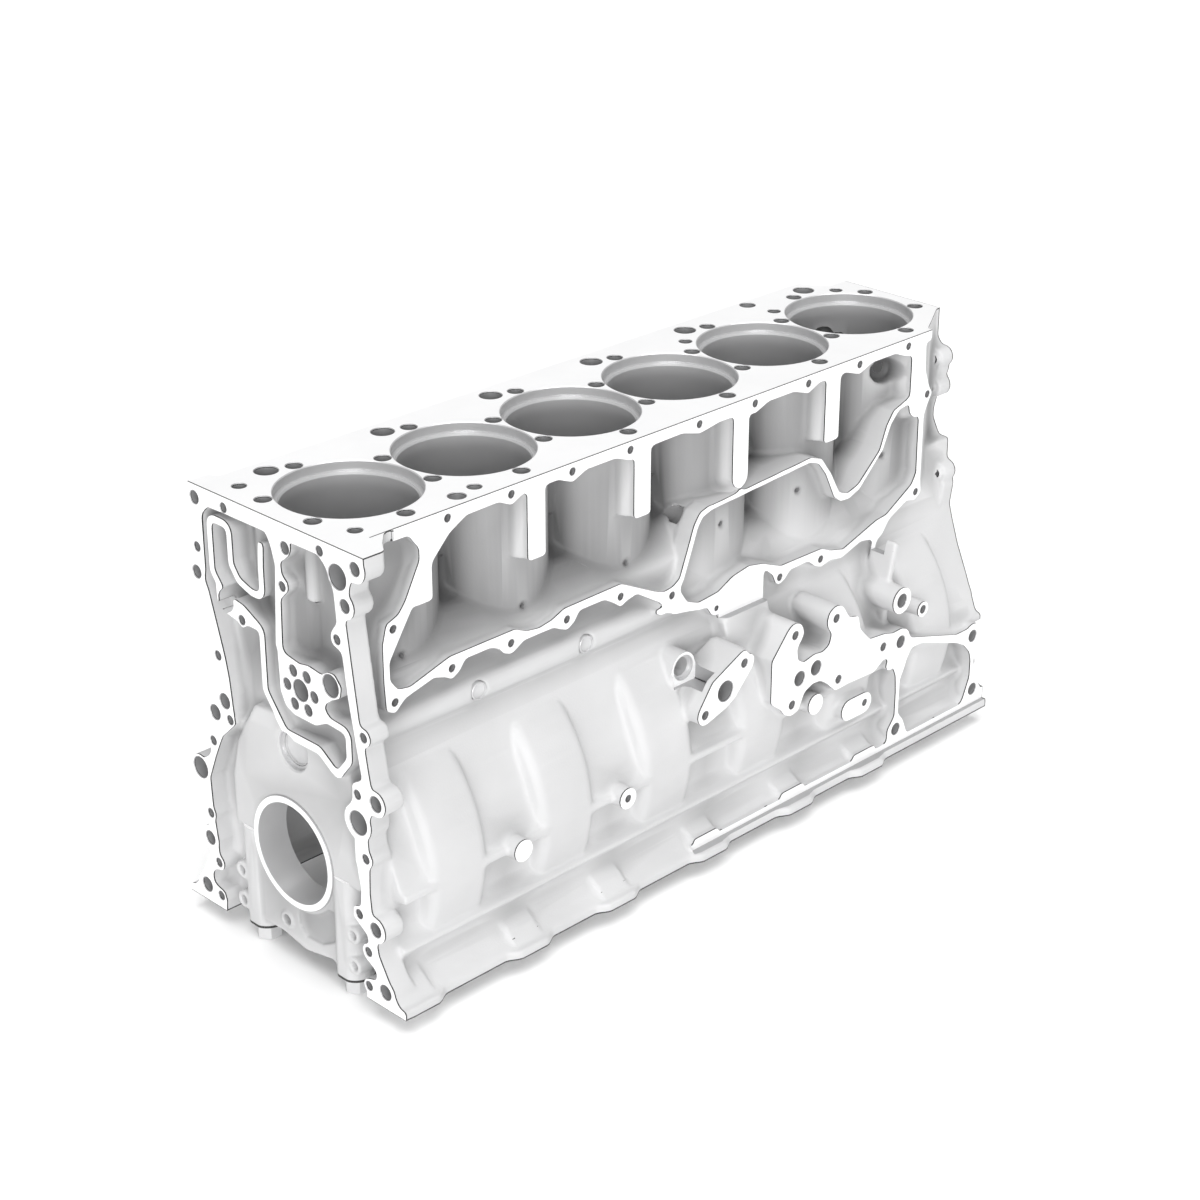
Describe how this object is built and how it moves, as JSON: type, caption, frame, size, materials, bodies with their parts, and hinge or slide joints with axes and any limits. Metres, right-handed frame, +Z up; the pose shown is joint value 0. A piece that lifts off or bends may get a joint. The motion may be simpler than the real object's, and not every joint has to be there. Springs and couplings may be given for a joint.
{
  "type": "engine block",
  "caption": "Bare in-line diesel engine block with open liner bores, bolted main bearing caps, ribbed crankcase and front and side machined faces.",
  "frame": {"origin": "crankshaft axis where it meets the front flange face", "axes": "+X along the crankshaft axis to the rear, +Z up along the cylinder axes, +Y to the far side"},
  "size_m": [1.052, 0.39, 0.5638],
  "materials": {
    "cast_iron": "sand-cast grey iron with ground and milled faces",
    "cap_iron": "cast iron with machined joint faces",
    "plug_steel": "pressed steel",
    "bolt_steel": "plain steel"
  },
  "bodies": {
    "root": {"cylinder_block": "cast_iron", "main_bearing_cap_1": "cap_iron", "main_bearing_cap_2": "cap_iron", "main_bearing_cap_3": "cap_iron", "main_bearing_cap_4": "cap_iron", "main_bearing_cap_5": "cap_iron", "main_bearing_cap_6": "cap_iron", "main_bearing_cap_7": "cap_iron", "cap_bolt_1_near": "bolt_steel", "cap_bolt_1_far": "bolt_steel", "cap_bolt_2_near": "bolt_steel", "cap_bolt_2_far": "bolt_steel", "cap_bolt_3_near": "bolt_steel", "cap_bolt_3_far": "bolt_steel", "cap_bolt_4_near": "bolt_steel", "cap_bolt_4_far": "bolt_steel", "cap_bolt_5_near": "bolt_steel", "cap_bolt_5_far": "bolt_steel", "cap_bolt_6_near": "bolt_steel", "cap_bolt_6_far": "bolt_steel", "cap_bolt_7_near": "bolt_steel", "cap_bolt_7_far": "bolt_steel", "side_core_plug_1": "plug_steel", "side_core_plug_2": "plug_steel", "front_core_plug": "plug_steel", "far_core_plug_1": "plug_steel", "far_core_plug_2": "plug_steel", "far_core_plug_3": "plug_steel"}
  },
  "joints": []
}
